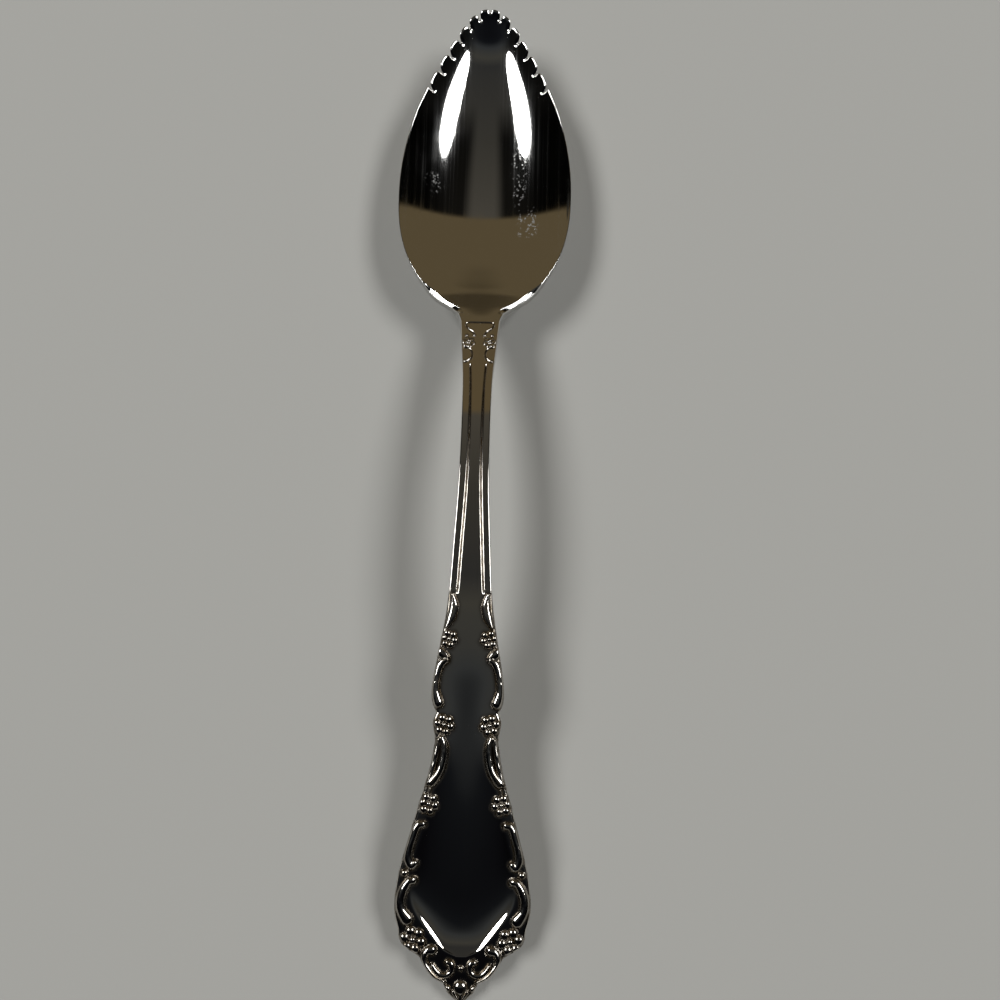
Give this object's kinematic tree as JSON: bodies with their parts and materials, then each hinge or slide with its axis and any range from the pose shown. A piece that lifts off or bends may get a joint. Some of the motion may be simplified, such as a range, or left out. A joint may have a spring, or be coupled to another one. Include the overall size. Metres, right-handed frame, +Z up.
{
  "type": "grapefruit spoon",
  "caption": "Polished steel grapefruit spoon with a pointed bowl, a toothed front edge and an arched handle with a struck scroll-and-blossom border.",
  "frame": {"origin": "middle of the spoon's length and width, on the table it lies on", "axes": "+Y along the spoon from the handle to the tip of the bowl, +Z up out of the bowl, +X to the right seen from above with the bowl pointing away"},
  "size_m": [0.0284, 0.155, 0.0143],
  "materials": {
    "polished_steel": "mirror polished stainless steel with fine wear scratches"
  },
  "bodies": {
    "root": {"bowl": "polished_steel", "stem": "polished_steel", "handle_plate": "polished_steel", "neck_scrolls": "polished_steel", "neck_blossoms": "polished_steel", "shoulder_buds": "polished_steel", "shoulder_blossoms": "polished_steel", "shoulder_scrolls": "polished_steel", "waist_blossoms": "polished_steel", "waist_scrolls": "polished_steel", "flare_blossoms": "polished_steel", "upper_side_scrolls": "polished_steel", "lower_side_scrolls": "polished_steel", "end_blossoms": "polished_steel", "end_scrolls": "polished_steel", "finial": "polished_steel"}
  },
  "joints": []
}
